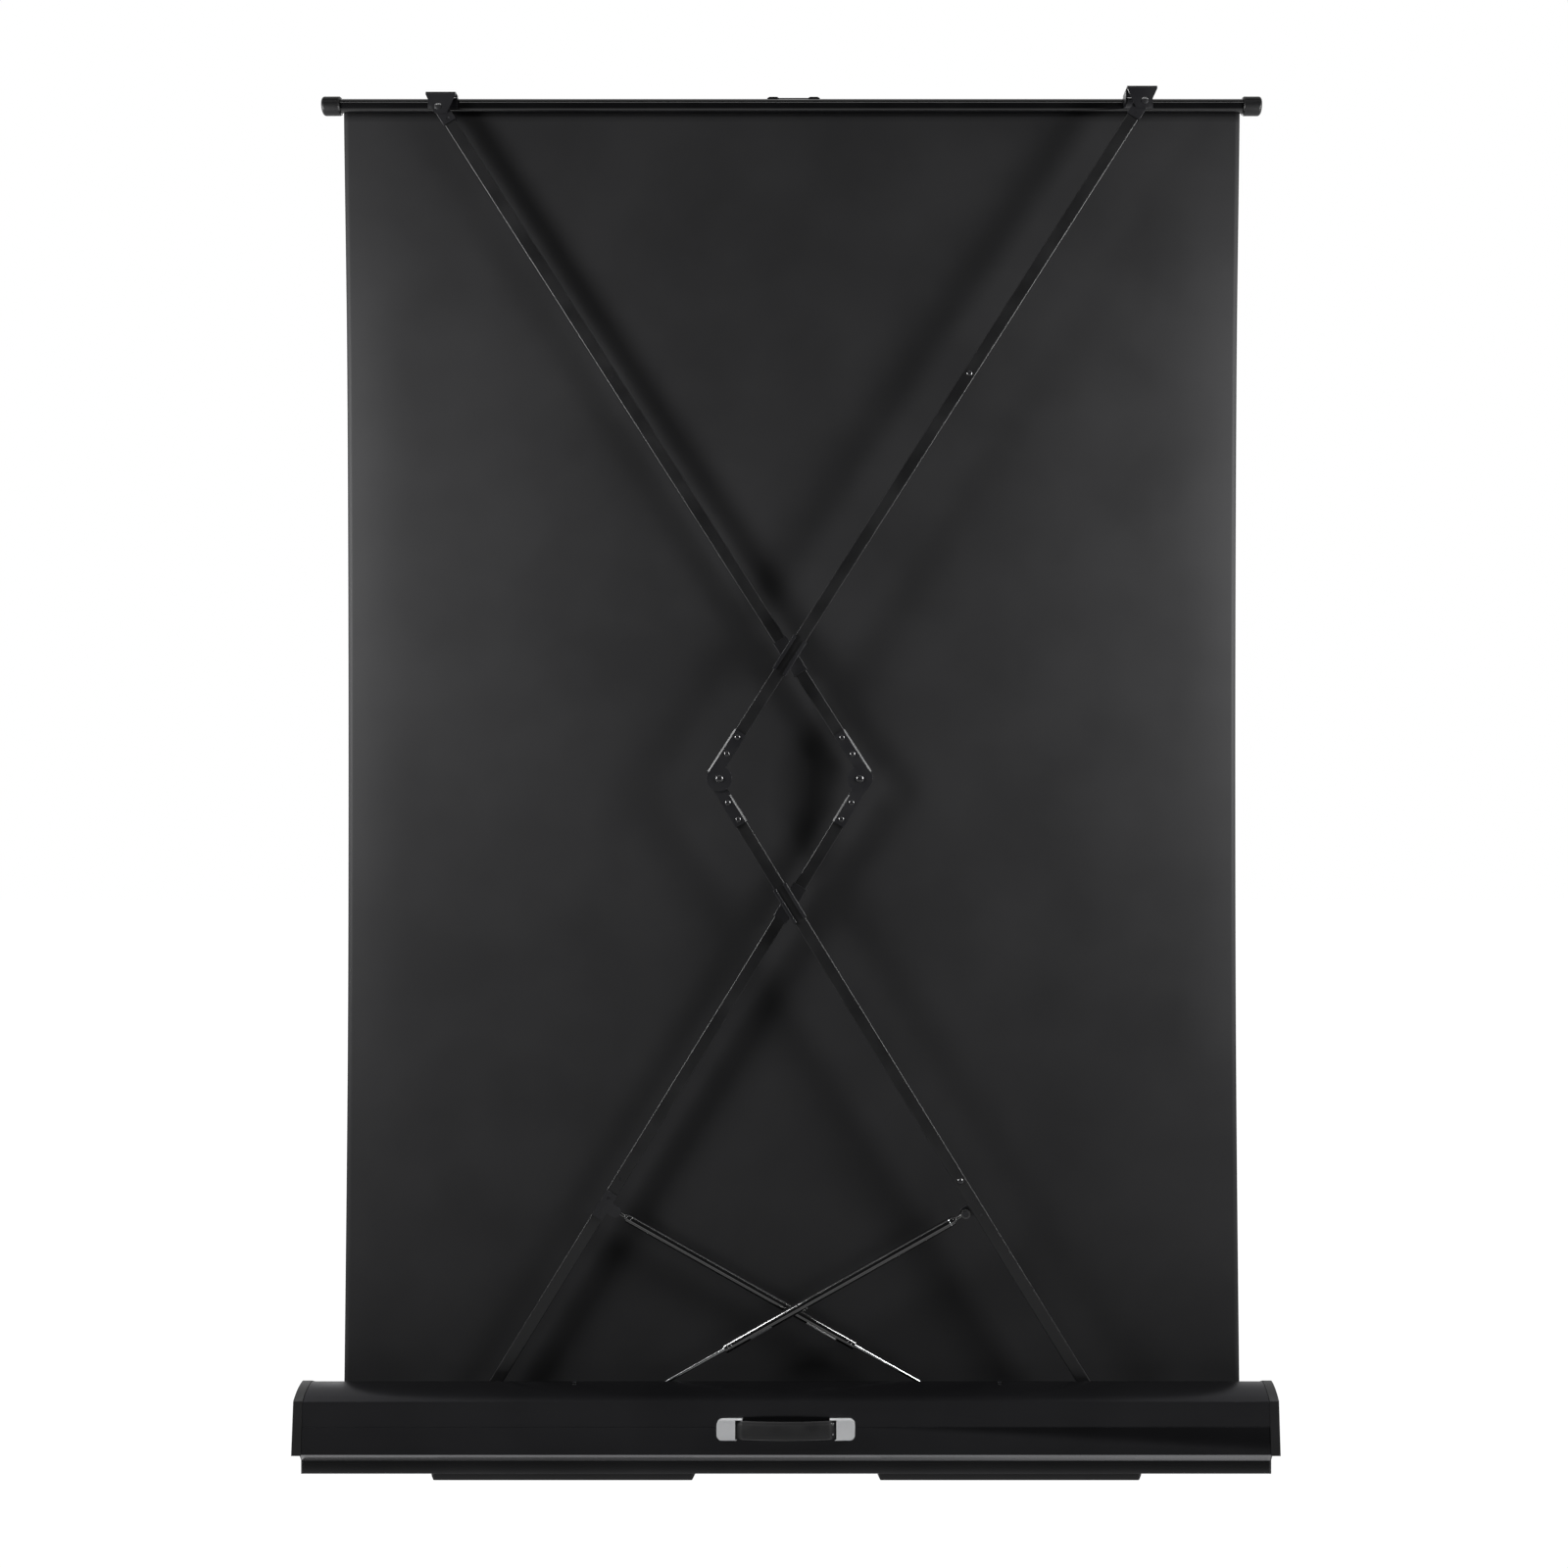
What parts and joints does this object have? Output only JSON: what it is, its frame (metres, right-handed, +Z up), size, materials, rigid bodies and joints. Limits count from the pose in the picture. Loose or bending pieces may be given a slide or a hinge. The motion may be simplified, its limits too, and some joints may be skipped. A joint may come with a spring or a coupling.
{
  "type": "pull-up projection screen",
  "caption": "Floor-standing projection screen: flat black case, cloth drawn up by folding arms with gas struts, round top bar, carrying handle, swivelling feet.",
  "frame": {"origin": "middle of the box's base, on the floor under the case", "axes": "+Z up; +X to the left when seen from behind; the projection side faces -Y, the lifting frame and the carrying handle face +Y"},
  "size_m": [1.5938, 0.1868, 2.2747],
  "materials": {
    "case_metal": "satin black anodised aluminium extrusion",
    "rail_metal": "gloss black painted aluminium channel",
    "cap_plastic": "moulded black ABS",
    "screw_steel": "zinc plated steel",
    "bracket_steel": "zinc plated sheet steel",
    "spring_steel": "oiled spring steel",
    "handle_chrome": "silver lacquered die casting",
    "handle_rubber": "moulded black strap",
    "backing_cloth": "matt black coated cloth",
    "white_cloth": "matt white projection coating",
    "roller_aluminium": "drawn aluminium tube",
    "rivet_nickel": "nickel plated steel rivet",
    "bar_paint": "gloss black paint",
    "plug_plastic": "moulded black plastic",
    "plate_paint": "black painted sheet steel",
    "arm_paint": "black powder coated steel tube",
    "strut_paint": "gloss black gas spring tube",
    "strut_chrome": "hard chromed piston rod",
    "foot_paint": "black powder coated steel"
  },
  "bodies": {
    "case": {"case_back": "case_metal", "case_front": "case_metal", "base_plate": "rail_metal", "base_skirts": "rail_metal", "end_cap_left": "cap_plastic", "end_cap_right": "cap_plastic", "case_screws": "screw_steel", "arm_foot_brackets": "bracket_steel", "base_pins": "screw_steel", "strut_foot_brackets": "bracket_steel", "roller_brackets": "bracket_steel", "roller_shaft": "screw_steel", "roller_spring": "spring_steel", "handle_ends": "handle_chrome", "handle_strap": "handle_rubber", "handle_screws": "screw_steel", "foot_bolts": "screw_steel", "foot_washers": "screw_steel", "screen_cloth": "backing_cloth", "projection_surface": "white_cloth"},
    "roller": {"roller_tube": "roller_aluminium", "roller_plugs": "cap_plastic", "wound_cloth": "backing_cloth"},
    "lower_arm_right": {"lower_arm_right": "arm_paint", "lower_elbow_plate_right": "plate_paint", "lower_rivets_right": "rivet_nickel", "elbow_pin_left": "rivet_nickel", "strut_bracket_right": "plate_paint"},
    "lower_arm_left": {"lower_arm_left": "arm_paint", "lower_elbow_plate_left": "plate_paint", "lower_rivets_left": "rivet_nickel", "elbow_pin_right": "rivet_nickel", "strut_bracket_left": "plate_paint"},
    "upper_arm_right": {"upper_arm_right": "arm_paint", "upper_elbow_plate_right": "plate_paint", "upper_rivets_right": "rivet_nickel", "arm_end_right": "plate_paint"},
    "upper_arm_left": {"upper_arm_left": "arm_paint", "upper_elbow_plate_left": "plate_paint", "upper_rivets_left": "rivet_nickel", "arm_end_left": "plate_paint"},
    "lower_slider_right": {"lower_slider_right": "plate_paint", "lower_crossing_pin": "rivet_nickel"},
    "lower_slider_left": {"lower_slider_left": "plate_paint"},
    "upper_slider_right": {"upper_slider_right": "plate_paint", "upper_crossing_pin": "rivet_nickel"},
    "upper_slider_left": {"upper_slider_left": "plate_paint"},
    "top_bar": {"top_bar": "bar_paint", "bar_plugs": "plug_plastic", "hem_rod": "plug_plastic", "bar_bracket_left": "plate_paint", "bar_bracket_right": "plate_paint", "bar_pivot_rivets": "rivet_nickel", "finger_grip": "plug_plastic"},
    "strut_rod_right": {"strut_rod_right": "strut_chrome"},
    "strut_tube_right": {"strut_tube_right": "strut_paint"},
    "strut_rod_left": {"strut_rod_left": "strut_chrome"},
    "strut_tube_left": {"strut_tube_left": "strut_paint"},
    "foot_left": {"foot_left": "foot_paint"},
    "foot_right": {"foot_right": "foot_paint"}
  },
  "joints": [
    {"name": "screen_fold", "type": "hinge", "parent": "case", "child": "lower_arm_right", "pos_m": [-0.549, -0.00115, 0.04], "axis": [0, 1, 0], "range_deg": [0, 57.15], "deforming": ["screen_cloth", "projection_surface"]},
    {"name": "left_lower_arm", "type": "hinge", "parent": "case", "child": "lower_arm_left", "pos_m": [0.541, -0.02035, 0.04], "axis": [0, -1, 0], "range_deg": [0, 57.45]},
    {"name": "left_elbow", "type": "hinge", "parent": "lower_arm_right", "child": "upper_arm_right", "pos_m": [0.11186, 0.00665, 1.13336], "axis": [0, -1, 0], "range_deg": [0, 113.66]},
    {"name": "right_elbow", "type": "hinge", "parent": "lower_arm_left", "child": "upper_arm_left", "pos_m": [-0.11986, -0.01815, 1.13336], "axis": [0, 1, 0], "range_deg": [0, 113.66]},
    {"name": "bar_pivot", "type": "hinge", "parent": "upper_arm_right", "child": "top_bar", "pos_m": [-0.588, 0.00665, 2.2485], "axis": [0, 1, 0], "range_deg": [0, 56.51]},
    {"name": "lower_slider_right_slide", "type": "slide", "parent": "lower_arm_right", "child": "lower_slider_right", "axis": [-0.5233, 0, -0.8522], "range_m": [0, 0.49684]},
    {"name": "lower_slider_left_slide", "type": "slide", "parent": "lower_arm_left", "child": "lower_slider_left", "axis": [0.5233, 0, -0.8522], "range_m": [0, 0.49684]},
    {"name": "upper_slider_left_slide", "type": "slide", "parent": "upper_arm_left", "child": "upper_slider_left", "axis": [0.5374, 0, 0.8434], "range_m": [0, 0.49929]},
    {"name": "upper_slider_right_slide", "type": "slide", "parent": "upper_arm_right", "child": "upper_slider_right", "axis": [-0.5374, 0, 0.8434], "range_m": [0, 0.49929]},
    {"name": "right_strut_swing", "type": "hinge", "parent": "lower_arm_right", "child": "strut_tube_right", "pos_m": [-0.29403, -0.00185, 0.41507], "axis": [0, -1, 0], "range_deg": [0, 86.45]},
    {"name": "right_strut_stroke", "type": "slide", "parent": "strut_tube_right", "child": "strut_rod_right", "axis": [-0.8714, 0, 0.4906], "range_m": [0, 0.30092]},
    {"name": "left_strut_swing", "type": "hinge", "parent": "lower_arm_left", "child": "strut_tube_left", "pos_m": [0.28603, -0.01965, 0.41507], "axis": [0, 1, 0], "range_deg": [0, 86.45]},
    {"name": "left_strut_stroke", "type": "slide", "parent": "strut_tube_left", "child": "strut_rod_left", "axis": [0.8714, 0, 0.4906], "range_m": [0, 0.30092]},
    {"name": "roller_spin", "type": "hinge", "parent": "case", "child": "roller", "pos_m": [0, -0.0635, 0.053], "axis": [1, 0, 0], "range_deg": [0, 5422.78]},
    {"name": "left_foot_swivel", "type": "hinge", "parent": "case", "child": "foot_left", "pos_m": [0.361, 0.00385, 0.005], "axis": [0, 0, 1], "range_deg": [0, 90]},
    {"name": "right_foot_swivel", "type": "hinge", "parent": "case", "child": "foot_right", "pos_m": [-0.361, 0.00385, 0.005], "axis": [0, 0, 1], "range_deg": [0, 90]}
  ],
  "couplings": [
    {"joint": "left_lower_arm", "follows": "screen_fold", "ratio": 1},
    {"joint": "left_elbow", "follows": "screen_fold", "ratio": 1.9835},
    {"joint": "right_elbow", "follows": "screen_fold", "ratio": 1.9835},
    {"joint": "bar_pivot", "follows": "screen_fold", "ratio": 0.98351},
    {"joint": "lower_slider_right_slide", "follows": "screen_fold", "m_per_rad": 0.4976},
    {"joint": "lower_slider_left_slide", "follows": "screen_fold", "m_per_rad": 0.4976},
    {"joint": "upper_slider_left_slide", "follows": "screen_fold", "m_per_rad": 0.50006},
    {"joint": "upper_slider_right_slide", "follows": "screen_fold", "m_per_rad": 0.50006},
    {"joint": "right_strut_swing", "follows": "screen_fold", "ratio": 1.5075},
    {"joint": "right_strut_stroke", "follows": "screen_fold", "m_per_rad": 0.30118},
    {"joint": "left_strut_swing", "follows": "screen_fold", "ratio": 1.5075},
    {"joint": "left_strut_stroke", "follows": "screen_fold", "m_per_rad": 0.30118},
    {"joint": "roller_spin", "follows": "screen_fold", "ratio": 94.882}
  ]
}
